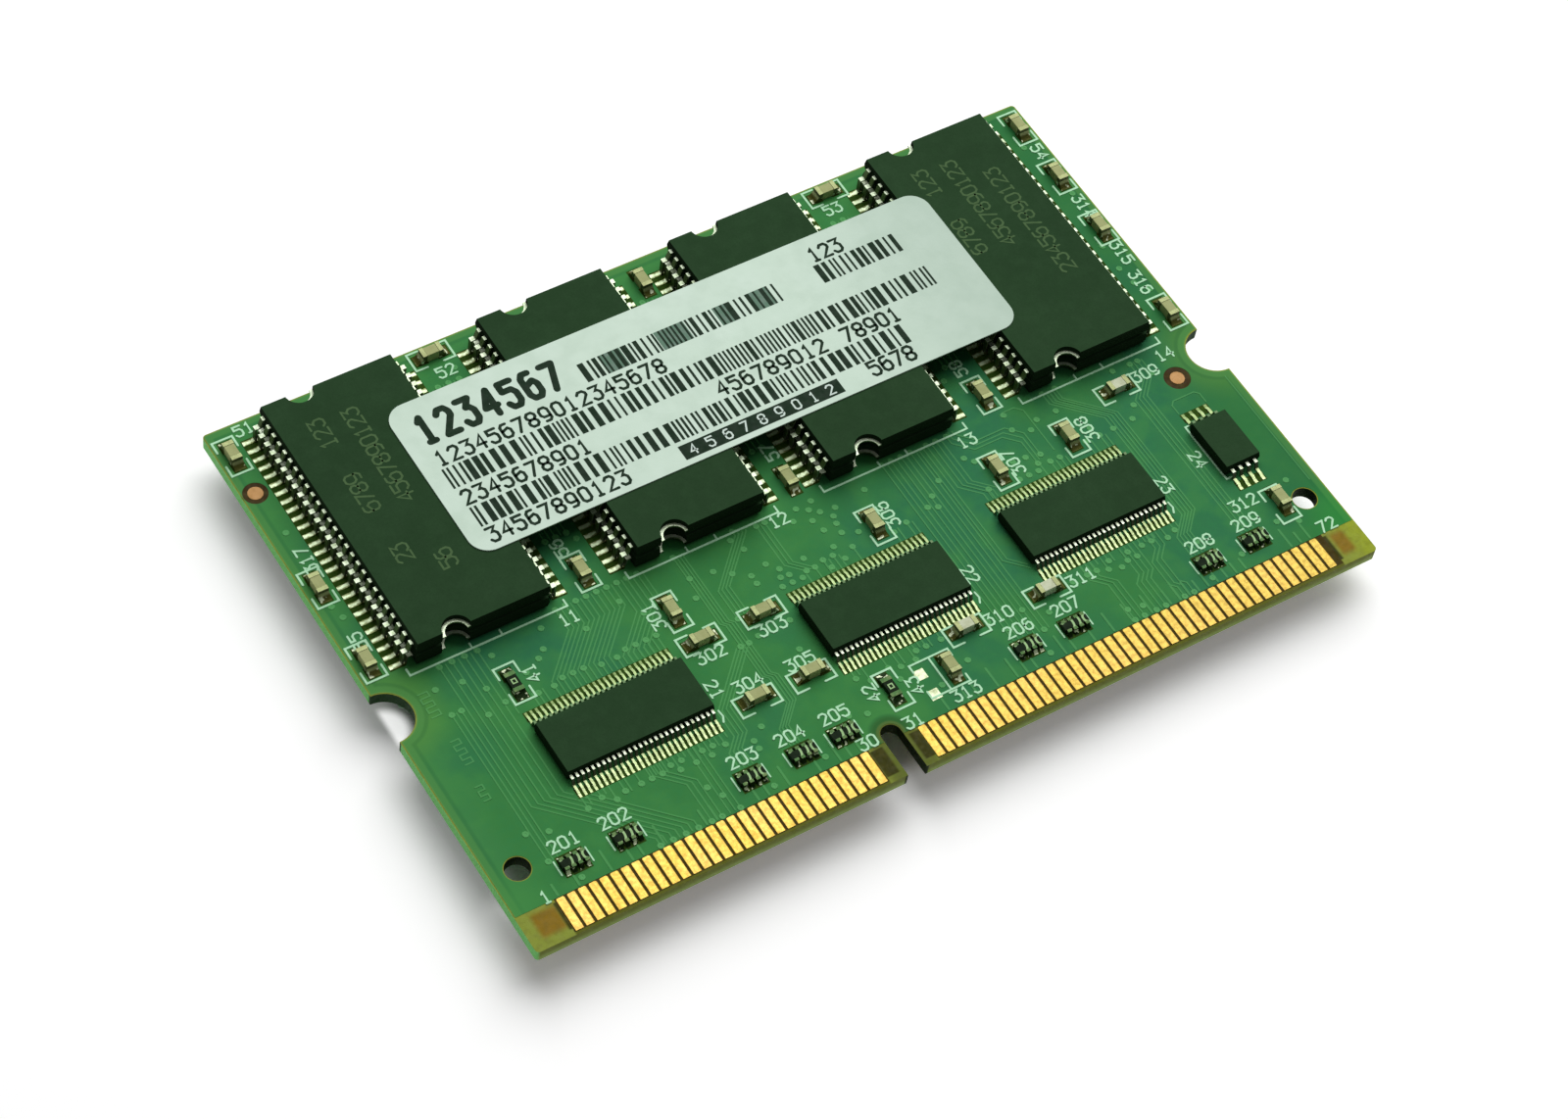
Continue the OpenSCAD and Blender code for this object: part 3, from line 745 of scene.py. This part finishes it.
def mask_plate(name, side, material, holes):
    """The solder mask of a face, with its openings, as a thin plate."""
    inset = 0.08
    key_r = KEY_R + inset
    low = math.degrees(math.asin((MASK_Y - KEY_TOP + KEY_R) / key_r))
    notch = math.degrees(math.asin(inset / (NOTCH_R + inset)))
    corner = CORNER_R - inset
    key_x = KEY_X if side == FRONT else WIDE - KEY_X
    outline = [(inset, MASK_Y)] + arc(key_x, KEY_TOP - KEY_R, key_r, 180 - low, low)
    outline += [(WIDE - inset, MASK_Y)]
    outline += arc(WIDE, NOTCH_Y, NOTCH_R + inset, 270 - notch, 90 + notch)
    outline += arc(WIDE - CORNER_R, DEEP - CORNER_R, corner, 0, 90, 8)
    outline += arc(CORNER_R, DEEP - CORNER_R, corner, 90, 180, 8)
    outline += arc(0, NOTCH_Y, NOTCH_R + inset, 90 - notch, -90 + notch)
    curve = bpy.data.curves.new(name, "CURVE")
    curve.dimensions = "2D"
    curve.fill_mode = "BOTH"
    curve.extrude = MASK_HALF
    for shape in [outline] + [arc(x, y, r, 0, 360 * 31 / 32, 31) for x, y, r in holes]:
        spline = curve.splines.new("POLY")
        spline.points.add(len(shape) - 1)
        for point, (x, y) in zip(spline.points, shape):
            point.co = (x, y, 0, 1)
        spline.use_cyclic_u = True
    sketch = bpy.data.objects.new(name + "_sketch", curve)
    scene.collection.objects.link(sketch)
    bpy.context.view_layer.update()
    mesh = bpy.data.meshes.new_from_object(sketch.evaluated_get(bpy.context.evaluated_depsgraph_get()))
    for vert in mesh.vertices:
        vert.co = place(side, vert.co.x, vert.co.y, vert.co.z + MASK_HALF)
    bpy.data.objects.remove(sketch)
    mesh.name = name
    add_piece(mesh, material)


def windows(name, side, boxes, material):
    """Bare board, dark with painted shade, between the feet of each package and around the ends of small
    parts.
    """
    relief = Relief(name, side, 0.0, 0.025)
    for key, box in sorted(boxes.items()):
        if key.startswith("stack"):
            middle = (box[1] + box[3]) / 2
            for x in (box[0] - 0.05, box[2] - 1.15):
                relief.bar(x, middle - 10.7, x + 1.2, middle + 10.7)
        else:
            x0, _, x1, _ = whole([key + "_leads"], side)
            for y in (box[1] - 0.05, box[3] - 0.75):
                relief.bar(x0 - 0.1, y, x1 + 0.1, y + 0.8)
    face = "front" if side == FRONT else "back"
    for kind in ("capacitor_ends", "resistor_ends"):
        for x0, y0, x1, y1 in islands(f"{face}_{kind}", side):
            relief.bar(x0 - 0.1, y0 - 0.1, x1 + 0.1, y1 + 0.1)
    relief.object(material)


def side_lines(relief, x, low, high):
    """The line at each end of a resistor array."""
    for way in (-1, 1):
        relief.line([(x + way * 1.18, low), (x + way * 1.18, high)], 0.15)


def meander(x, top, bottom, reach):
    """A path that winds from side to side as it runs down."""
    path, y, side = [], top, 0
    while y > bottom:
        path += [(x + reach * side, y), (x + reach * (1 - side), y)]
        side, y = 1 - side, y - 0.4
    return path


def place_vias(name, side, spots, blocks, material):
    """Drilled and covered vias, kept clear of the parts and of each other."""
    relief = Relief(name, side, 0.012, 0.056)
    kept = []
    for x, y in spots:
        if free(x, y, blocks, 0.3) and all(math.hypot(x - a, y - b) > 0.62 for a, b in kept):
            kept.append((x, y))
            relief.turned(x, y, [(0.26, 0.012), (0.23, 0.056), (0.1, 0.055), (0.05, 0.04)])
    relief.object(material)


def bars(relief, x0, x1, y0, y1, seed):
    """A row of narrow and wide bars between two ends."""
    pick = random.Random(seed)
    x = x0
    while x < x1 - 0.2:
        width = pick.choice((0.17, 0.17, 0.2, 0.34, 0.47))
        relief.bar(x, y0, min(x + width, x1), y1)
        x += width + pick.choice((0.17, 0.17, 0.3, 0.36))


def row(relief, x0, x1, y0, y1, count, first):
    """A row of evenly spaced plain numbers."""
    pitch = (x1 - x0) / count
    for index in range(count):
        write(relief, str((first + index) % 10), x0 + (index + 0.5) * pitch, (y0 + y1) / 2,
              height=y1 - y0, stroke=0.22, slim=0.56)


def mark_row(relief, x, y0, y1, count, first):
    """Numbers up a package, read along +Y."""
    for index in range(count):
        spot = y0 + (y1 - y0) * (index + 0.5) / count
        write(relief, str((first + index) % 10), x, spot, 90, height=1.15, stroke=0.16)


def seams(degrees):
    """Joins split vertices, smooths faces and keeps edges sharp above an angle."""
    tree = bpy.data.node_groups.new(f"seams_{degrees}", "GeometryNodeTree")
    tree.interface.new_socket("Geometry", in_out="INPUT", socket_type="NodeSocketGeometry")
    tree.interface.new_socket("Geometry", in_out="OUTPUT", socket_type="NodeSocketGeometry")
    start = tree.nodes.new("NodeGroupInput")
    end = tree.nodes.new("NodeGroupOutput")
    weld = tree.nodes.new("GeometryNodeMergeByDistance")
    weld.inputs["Distance"].default_value = 1e-6
    clear = tree.nodes.new("GeometryNodeRemoveAttribute")
    clear.inputs["Name"].default_value = "custom_normal"
    smooth = tree.nodes.new("GeometryNodeSetShadeSmooth")
    sharp = tree.nodes.new("GeometryNodeSetShadeSmooth")
    sharp.domain = "EDGE"
    sharp.inputs["Shade Smooth"].default_value = False
    angle = tree.nodes.new("GeometryNodeInputMeshEdgeAngle")
    above = tree.nodes.new("ShaderNodeMath")
    above.operation = "GREATER_THAN"
    above.inputs[1].default_value = math.radians(degrees)
    tree.links.new(angle.outputs["Unsigned Angle"], above.inputs[0])
    tree.links.new(above.outputs[0], sharp.inputs["Selection"])
    chain = [start, weld, clear, smooth, sharp, end]
    for near, far in zip(chain, chain[1:]):
        tree.links.new(near.outputs[0], far.inputs[0])
    return tree


SMALL = ("capacitors", "capacitor_ends", "resistors", "resistor_ends")
front_parts = [box for kind in SMALL for box in islands("front_" + kind, FRONT)]
front_parts += islands("bare_lands", FRONT)
back_parts = [box for kind in SMALL for box in islands("back_" + kind, BACK)]
front_groups = groups(FRONT)
back_groups = groups(BACK)
front_blocks = front_parts + list(front_groups.values()) + [KEY_BOX]
back_key = (WIDE - KEY_BOX[2], 0, WIDE - KEY_BOX[0], KEY_BOX[3])
back_blocks = back_parts + list(back_groups.values()) + [back_key]

# Finishes
mask_green = mask("mask")
track_green = mask("mask_over_copper", 0.35)
via_green = mask("mask_over_vias", 0.6)
legend_ink = plain("legend_ink", (186, 234, 194), (168, 220, 178), 0.6, 0.15)
print_ink = plain("print_ink", (16, 40, 22), (24, 50, 30), 0.6, 0.1)
field_ink = plain("field_ink", (96, 128, 108), (120, 138, 128), 0.6, 0.1)
mark_ink = plain("mark_ink", (78, 104, 68), (68, 92, 60), 0.7, 0.02)
copper = plain("copper", (186, 138, 78), (168, 124, 62), 0.5, 0.3, 0.1)
pale_caps = [(60.0, 20.1), (37.9, 7.8), (44.8, 7.9)]
finishes = {"board": laminate(), "contacts": gold(), "moulding": moulding(),
            "label": film(), "capacitor_ceramic": ceramic(pale_caps), "resistor_ceramic": glaze()}
stack_tin = stack_leads()
fine_tin = fine_leads()
cap_ends = solder("capacitor_solder", (166, 174, 122), (78, 80, 34))
resistor_ends = solder("resistor_solder", (72, 108, 60), (24, 42, 14))
bare_tin = tinned("bare_tin", (208, 220, 182), (208, 220, 182), 0.0, (104, 104, 46), (90, 86, 40)).done()
# Bare board's olive, darkened as painted shade between feet and around small parts
bare_board_and_shade = plain("bare_board", (44, 70, 20), (64, 88, 28), 0.7, 0.02, size=0.25)
slots = {row["node"]: row["material_slot"] for row in frame["record"]["subparts"]}


def finish_of(name):
    """The finish of a CAD node."""
    if name == "bare_lands":
        return bare_tin
    if name.endswith("capacitor_ends"):
        return cap_ends
    if name.endswith("resistor_ends"):
        return resistor_ends
    if name.endswith("_leads"):
        return stack_tin if name.startswith("stack") else fine_tin
    return finishes[slots[name]]


# Mask plates, and their openings around the rows of feet, dark with painted shade
openings = [(x, y, HOLE_R + 0.07) for x, y in HOLES]
mask_plate("front_mask", FRONT, mask_green, openings + FIDUCIALS)
mask_plate("back_mask", BACK, mask_green, openings)
windows("front_windows", FRONT, front_groups, bare_board_and_shade)
windows("back_windows", BACK, back_groups, bare_board_and_shade)

# Tracks and vias
BUNDLES = [
    ([(5.1, 21.9), (5.1, 9.6), (11, 3.7), (11, 3)], 7, (0.48, 0)),
    ([(4, 18.2), (4, 5.5)], 3, (0.36, 0)),
    ([(11.13, 16.1), (11.13, 17.4), (14.2, 20.47), (14.2, 22.3)], 12, (0.4, 0)),
    ([(16.33, 16.1), (16.33, 16.9), (19, 19.6), (19, 22.3)], 6, (0.4, 0)),
    ([(23.45, 22.3), (23.45, 16.1), (23.75, 15.8), (23.75, 11.2), (24.1, 10.85), (24.1, 8.6),
      (22.55, 7.05), (22.55, 5.3)], 4, (0.24, 0)),
    ([(24.4, 13.9), (20.6, 10.1), (20.6, 8), (19.6, 7), (19.6, 5.4)], 4, (-0.33, 0)),
    ([(28.2, 22.3), (28.2, 21.9), (24.75, 18.45), (24.75, 15.9)], 4, (0.3, 0)),
    ([(29.9, 21.9), (29.9, 18.2), (31, 17.1)], 3, (0.34, 0)),
    ([(40.45, 22.3), (40.45, 5.4)], 8, (0.4, 0)),
    ([(43.5, 22.3), (43.5, 11.5), (45.6, 9.4)], 2, (0.35, 0)),
    ([(44.2, 22.3), (44.2, 18.2), (45.5, 16.9), (45.5, 16.2)], 4, (0.4, 0)),
    ([(45.9, 22.3), (45.9, 21.6), (47.1, 20.4), (49.4, 20.4), (50.4, 19.4), (50.4, 17.3)], 3, (0.3, 0.3)),
    ([(50.6, 22.2), (51.6, 22.2), (52.1, 21.7), (52.1, 17.8)], 1, (0, 0)),
    ([(54.1, 22.3), (54.1, 21.3), (56.95, 18.45), (56.95, 8.9), (55.5, 7.45), (55.5, 5.4)], 5, (0.28, 0)),
    ([(61.3, 21.6), (61.3, 20.2), (59.8, 18.7), (59.8, 5.4)], 4, (0.34, 0)),
    ([(61.9, 16.2), (61.9, 17.1), (62.2, 17.4), (64, 17.4), (64.3, 17.1), (64.3, 16.2)], 1, (0, 0)),
    ([(48, 8.7), (48, 7.3), (48.9, 6.4), (48.9, 3.1)], 3, (0.4, 0)),
    ([(51.3, 8.7), (51.3, 6.1), (50.7, 5.5), (50.7, 3.1)], 4, (0.4, 0)),
    ([(53.6, 8.7), (53.6, 7.4), (52.7, 6.5), (52.7, 4.4), (53.1, 4), (53.1, 3.1)], 3, (0.4, 0)),
    ([(13.3, 8.7), (13.3, 7.9), (14.9, 6.3), (14.9, 3.1)], 3, (0.4, 0)),
    ([(16.3, 8.7), (16.3, 3.1)], 3, (0.4, 0)),
    ([(66.9, 18), (66.9, 7.2)], 1, (0, 0)),
    ([(16.4, 42.4), (16.4, 27.5)], 5, (0.42, 0)),
    ([(33, 42.4), (33, 27.5)], 3, (0.42, 0)),
    ([(49.2, 42.4), (49.2, 27.5)], 4, (0.42, 0)),
]
MEANDERS = [(2.75, 20.6, 18.4, 0.7), (2.9, 16.4, 14.3, 0.6), (2.6, 12.6, 11.0, 0.5)]
VIA_FIELDS = [((29, 16.4, 34, 18.2), 14), ((33.5, 17.3, 35.3, 21.6), 10), ((1, 22, 3, 45), 14),
              ((65, 22, 66.8, 45), 12), ((3, 3.4, 66, 8), 60), ((3, 17, 65, 22), 70),
              ((25, 8, 34, 16), 16), ((45, 8, 51, 16), 10), ((15.3, 25, 19, 44), 22),
              ((32, 25, 35.5, 44), 22), ((48, 25, 52, 44), 20)]
tracks = Relief("front_tracks", FRONT, *TRACK_FORM)
via_spots = []
for shape in MEANDERS:
    for run in runs(meander(*shape), front_blocks, 0.1):
        tracks.line(run, TRACK_W)
for path, count, step in BUNDLES:
    bundle(tracks, via_spots, path, count, step, front_blocks, count > 2)

chance = random.Random(7)
for x in CONTACTS:
    rise = chance.choice((0.1, 0.1, 0.6, 0.9, 1.3))
    for run in runs([(x, MASK_Y + 0.15), (x, MASK_Y + rise + 0.4)], front_blocks, 0.1):
        tracks.line(run, 0.2)
for key in REGISTERS:
    box = front_groups[key]
    for index in range(FINE_LEADS):
        x = box[0] + (box[2] - box[0]) * (index + 0.5) / FINE_LEADS
        for edge, way in ((box[3], 1), (box[1], -1)):
            length = chance.choice((0, 0.5, 0.8, 1.1))
            if length and free(x, edge + way * (length + 0.3), front_blocks, 0.25):
                path = [(x, edge + way * 0.1), (x, edge + way * length)]
                for run in runs(path, front_blocks, 0.05):
                    tracks.line(run, 0.15)
                via_spots.append((x, edge + way * (length + 0.15)))
for box, count in VIA_FIELDS:
    for _ in range(count):
        via_spots.append((chance.uniform(box[0], box[2]), chance.uniform(box[1], box[3])))
place_vias("front_vias", FRONT, via_spots, front_blocks, via_green)
tracks.object(track_green)

# Legend of the front
legend = Relief("front_legend", FRONT, *LEGEND_FORM)
LONG_MARKS = [(19.8, 18.7, 90), (21.6, 14.3, 0), (26.46, 14.3, 0), (22.63, 11.16, 0), (26.64, 11.0, 0),
              (38.54, 18.5, 90), (48.87, 18.2, 90), (55.2, 18.2, 90), (61.8, 20.4, 0), (40.68, 7.82, 0),
              (47.56, 7.8, 0), (61.42, 7.7, 0), (35.3, 3.67, 0), (66.75, 35.4, -90), (66.75, 30.45, -90),
              (66.4, 27.5, -90), (1.44, 33.6, 90)]
SHORT_MARKS = [(2.78, 45.3, 0), (17.6, 43.4, 0), (49.9, 43.6, 0), (66.75, 41.3, -90), (1.35, 26.2, 90),
               (16.97, 26.57, 90), (34.07, 26.86, 90), (50.0, 26.95, 90)]
NUMBERS = {301: LONG_MARKS, 51: SHORT_MARKS,
           11: [(14.7, 21.3, 0), (31.55, 21.6, 0), (47.0, 21.3, 0), (64.1, 21.2, 0)],
           21: [(20.36, 11.8, -90), (40.84, 11.6, -90), (57.3, 11.6, -90), (60.75, 12.3, -90)],
           41: [(10.25, 18.6, 90), (29.55, 6.56, 90), (32.5, 5.7, 90)],
           201: [(x, 6.3, 0) for x in (5.56, 9.34, 19.16, 22.86, 26.37, 41.3, 45.2, 56.6, 60.6)]}
for first, spots in NUMBERS.items():
    for index, spot in enumerate(spots):
        write(legend, str(first + index), *spot)
for text, x, y in [("1", 2.5, 3.3), ("30", 27.2, 3.4), ("31", 30.84, 3.4), ("72", 65.6, 3.4)]:
    write(legend, text, x, y)
BRACKETS = [(21.62, 15.61, 0), (26.47, 15.6, 0), (21.11, 18.49, 90), (8.88, 18.46, 90), (22.44, 9.68, 0),
            (26.7, 9.64, 0), (31.0, 6.16, 90), (59.12, 20.1, 0), (37.27, 18.15, 90), (47.5, 18.07, 90),
            (53.67, 18.13, 90), (38.05, 7.83, 0), (44.76, 7.9, 0), (63.7, 6.4, 90)]
for spot in BRACKETS:
    bracket(legend, *spot)
for box in islands("front_capacitors", FRONT):
    x, y = centre(box)
    if all(math.hypot(x - mx, y - my) > 1.2 for mx, my, _ in BRACKETS) and not 32.5 < x < 36.5:
        bracket(legend, x, y, lie(box))
legend.line([(32.95, 6.6), (32.95, 7.2), (36.07, 7.2), (36.07, 6.6)], LINE_W)
legend.line([(32.95, 4.9), (32.95, 4.3), (36.07, 4.3), (36.07, 4.9)], LINE_W)
legend.line([(34.5, 4.3), (34.5, 7.2)], LINE_W)
for x in ARRAY_X:
    side_lines(legend, x, 4.2, 5.3)
for start, end in [(3.1, 15.1), (19.95, 31.9), (35.65, 47.6), (52.4, 64.4)]:
    legend.line([(start, 22.75), (start, 22.2), (end, 22.2), (end, 22.75)], LINE_W)
    for shift in (4.7, 7.0):
        legend.line([(start + shift, 22.2), (start + shift, 22.62)], LINE_W)
legend.line([(61.95, 15.05), (61.6, 15.05), (61.6, 9.95), (61.95, 9.95)], LINE_W)
for key in REGISTERS:
    box = front_groups[key]
    x, y = box[2] + 0.35, box[1] + 1.5
    legend.line([(x, y), (x + 0.05, y - 0.5), (x - 0.15, y - 0.9)], LINE_W)
legend.object(legend_ink)

# Pale strokes between an array's terminals, and a plain mark on each single resistor
strokes = Relief("array_marks", FRONT, 0.445, 0.456, 0.01)
HOOK = [(0.02, 0.42), (0.1, 0.3), (0.1, 0.05), (0.05, -0.18), (-0.06, -0.34)]
CUP = [(0.1, 0.34), (-0.02, 0.3), (-0.1, 0.1), (-0.1, -0.12), (-0.02, -0.3), (0.1, -0.32)]
for x in ARRAY_X:
    for shift, shape in ((-0.27, HOOK), (0.23, HOOK), (0.75, CUP)):
        strokes.line([(x + shift + dx, ARRAY_Y + dy) for dx, dy in shape], LINE_W)
    for dx, dy in ((-0.8, 0.34), (-0.72, -0.36)):
        strokes.line([(x + dx - 0.09, ARRAY_Y + dy - 0.03), (x + dx + 0.09, ARRAY_Y + dy + 0.03)], 0.16)
for box in islands("front_resistors", FRONT):
    if box[2] - box[0] < ARRAY_LONG:
        x, y = centre(box)
        rim = [(x - 0.15, y - 0.17), (x + 0.15, y - 0.17), (x + 0.15, y + 0.17), (x - 0.15, y + 0.17)]
        strokes.line(rim, 0.1, True)
strokes.object(plain("array_ink", (166, 202, 144), (140, 178, 118), 0.5, 0.05))

# Fiducial discs
discs = Relief("front_fiducials", FRONT, 0.0, 0.03)
for x, y, _ in FIDUCIALS:
    discs.turned(x, y, [(0.55, 0.0), (0.55, 0.02), (0.53, 0.03), (0.2, 0.031)], 32)
discs.object(copper)

# Back face
BACK_BUNDLES = [([(3.4, 3.2), (3.4, 7.0), (8.4, 12.0), (8.4, 21.0)], 8, 0.45),
                ([(14.0, 3.2), (14.0, 9.0), (20.0, 15.0), (20.0, 21.5)], 10, 0.5)]
back_tracks = Relief("back_tracks", BACK, *TRACK_FORM)
back_spots = []
for key, box in sorted(back_groups.items()):
    if not key.startswith("stack"):
        middle = centre(box)[0]
        for way in (-1, 1):
            for shape, count, pitch in BACK_BUNDLES:
                path = [(middle + way * x, y) for x, y in shape]
                bundle(back_tracks, back_spots, path, count, (way * pitch, 0), back_blocks, True)
for _ in range(260):
    back_spots.append((chance.uniform(1, WIDE - 1), chance.uniform(3.2, DEEP - 1)))
place_vias("back_vias", BACK, back_spots, back_blocks, via_green)
back_tracks.object(track_green)
back_legend = Relief("back_legend", BACK, *LEGEND_FORM)
for box in islands("back_capacitors", BACK):
    bracket(back_legend, *centre(box), lie(box))
for index, (key, box) in enumerate(sorted(back_groups.items())):
    if key.startswith("stack"):
        back_legend.line([(box[0] - 0.3, box[1] - 0.1), (box[0] - 0.3, box[1] - 0.6),
                          (box[2] + 0.3, box[1] - 0.6), (box[2] + 0.3, box[1] - 0.1)], LINE_W)
        write(back_legend, str(11 + index), box[2] - 1.2, box[1] - 1.35)
for index, box in enumerate(islands("back_resistors", BACK)):
    x, y = centre(box)
    if box[2] - box[0] > ARRAY_LONG:
        write(back_legend, str(210 + index), x, y + 1.6)
        side_lines(back_legend, x, y - 0.5, y + 0.6)
    else:
        bracket(back_legend, x, y, lie(box))
back_legend.object(legend_ink)

# Label print
ink = Relief("label_print", FRONT, LABEL_TOP - 0.002, LABEL_TOP + 0.006)
fields = Relief("label_fields", FRONT, LABEL_TOP - 0.002, LABEL_TOP + 0.004)
for line in [(12.1, 30.4, 34.7, 35.85, 18, 1), (12.1, 22.2, 31.05, 32.2, 10, 2),
             (32.3, 41.4, 31.05, 32.2, 9, 4), (42.7, 47.6, 31.05, 32.2, 5, 7),
             (12.1, 23.3, 27.55, 28.7, 11, 3), (42.8, 46.7, 27.6, 28.8, 4, 5),
             (44.5, 47.3, 38.3, 39.45, 3, 1)]:
    row(ink, *line)
for line in [(12.1, 51.6, 32.6, 34.4, 2), (12.2, 47.3, 29.0, 30.75, 3), (24.8, 41.0, 36.3, 38.0, 5),
             (44.3, 51.0, 36.3, 38.0, 6)]:
    bars(ink, *line)
for start, end in [(26.5, 28.2), (31.0, 33.4), (35.8, 37.0), (38.6, 40.2)]:
    fields.bar(start, 36.3, end, 38.0)
for index in range(7):
    write(ink, str(index + 1), 12.85 + index * 1.66, 37.9, height=2.2, stroke=0.5, slim=0.42)
ink.bar(27.4, 27.4, 40.4, 28.65)
ink.object(print_ink)
fields.object(field_ink)
light = Relief("label_lights", FRONT, LABEL_TOP + 0.005, LABEL_TOP + 0.008)
for index in range(9):
    write(light, str((index + 4) % 10), 28.3 + index * 1.4, 28.02, height=0.8, stroke=0.13)
light.object(plain("light_ink", (205, 222, 212), (190, 210, 198), 0.5))

# Faint marks on the mouldings
marks = Relief("chip_marks", FRONT, CHIP_TOP - 0.002, CHIP_TOP + 0.004)
for line in [(6.5, 39.5, 42.2, 3, 1), (9.0, 33.2, 42.0, 10, 4), (6.5, 33.5, 37.0, 4, 6),
             (6.5, 28.9, 30.4, 2, 2), (8.9, 27.1, 28.8, 2, 5), (56.0, 39.5, 42.2, 3, 1),
             (58.4, 33.2, 42.0, 10, 4), (56.0, 33.5, 37.0, 4, 6), (60.9, 29.2, 40.0, 12, 2)]:
    mark_row(marks, *line)
marks.object(mark_ink)

# The CAD nodes' seams, edges and finishes
plain_seams = seams(30)
lead_seams = seams(50)
ROUND = {"board": 0.05, "moulding": 0.04, "capacitor_ceramic": 0.04, "resistor_ceramic": 0.03,
         "label": 0.02}
for name, node in sorted(frame["nodes"].items()):
    slot = slots[name]
    node.data.materials.clear()
    node.data.materials.append(finish_of(name))
    modifier = node.modifiers.new("seams", "NODES")
    modifier.node_group = lead_seams if slot == "tinned_metal" else plain_seams
    if slot in ROUND:
        bevel = node.modifiers.new("round", "BEVEL")
        bevel.width = ROUND[slot] * MM
        bevel.segments = 2
        bevel.limit_method = "ANGLE"
        bevel.angle_limit = math.radians(40)
        bevel.harden_normals = True

# Ground, light and camera
GROUND = 1.5
ground_mesh = bpy.data.meshes.new("ground")
corners = [(-GROUND, -GROUND, 0), (GROUND, -GROUND, 0), (GROUND, GROUND, 0), (-GROUND, GROUND, 0)]
ground_mesh.from_pydata(corners, [], [(0, 1, 2, 3)])
ground_mesh.materials.append(floor_finish())
ground = bpy.data.objects.new("ground", ground_mesh)
scene.collection.objects.link(ground)

lamp_data = bpy.data.lights.new("softbox", "AREA")
lamp_data.shape = "SQUARE"
lamp_data.size = 0.7
lamp_data.energy = 5.2
lamp = bpy.data.objects.new("softbox", lamp_data)
lamp.location = (0.24, 0.28, 0.51)
lamp.rotation_euler = (Vector((0, 0, 0.003)) - lamp.location).to_track_quat("-Z", "Y").to_euler()
scene.collection.objects.link(lamp)

world = bpy.data.worlds.new("world")
scene.world = world
world.use_nodes = True
background = world.node_tree.nodes["Background"].inputs
background["Color"].default_value = (1, 1, 1, 1)
background["Strength"].default_value = 0.16

camera_data = bpy.data.cameras.new("camera")
camera_data.lens = 91.0
camera_data.sensor_width = 36.0
camera_data.sensor_fit = "HORIZONTAL"
camera_data.clip_start = 0.01
camera = bpy.data.objects.new("camera", camera_data)
right = Vector((0.8438, -0.5262, 0.1054)).normalized()
forward = Vector((0.3794, 0.4461, -0.8106)).normalized()
up = right.cross(forward).normalized()
right = forward.cross(up).normalized()
matrix = Matrix((right, up, -forward)).transposed().to_4x4()
matrix.translation = Vector((-0.10631, -0.12511, HIGH.z + 0.21935))
camera.matrix_world = matrix
scene.collection.objects.link(camera)
scene.camera = camera
scene.view_settings.view_transform = "Standard"
